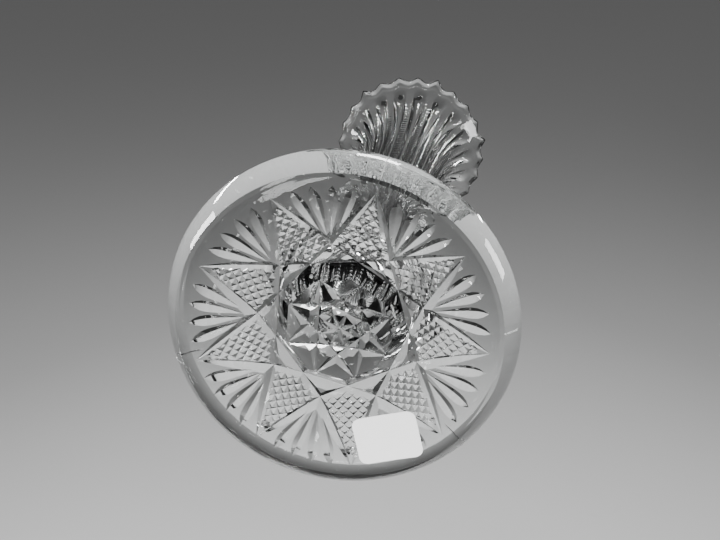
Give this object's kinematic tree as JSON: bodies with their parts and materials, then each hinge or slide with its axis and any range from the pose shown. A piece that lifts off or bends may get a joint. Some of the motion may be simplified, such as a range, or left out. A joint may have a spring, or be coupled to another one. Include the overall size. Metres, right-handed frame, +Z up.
{
  "type": "pressed glass trumpet vase",
  "caption": "Tall pressed-glass trumpet vase with a flared saw-tooth mouth, fluted sides and a wide round foot with a star pattern underneath.",
  "frame": {"origin": "centre of the plane that the foot's standing ring rests on", "axes": "+Z up along the vase's axis, from the foot to the mouth; the label lies towards +X +Y under the foot"},
  "size_m": [0.114, 0.114, 0.236],
  "materials": {
    "clear_glass": "fire-polished pressed glass, colourless",
    "label_paper": "matt white sticker paper, blank"
  },
  "bodies": {
    "root": {"foot": "clear_glass", "ring_knop": "clear_glass", "trumpet": "clear_glass", "label": "label_paper"}
  },
  "joints": []
}
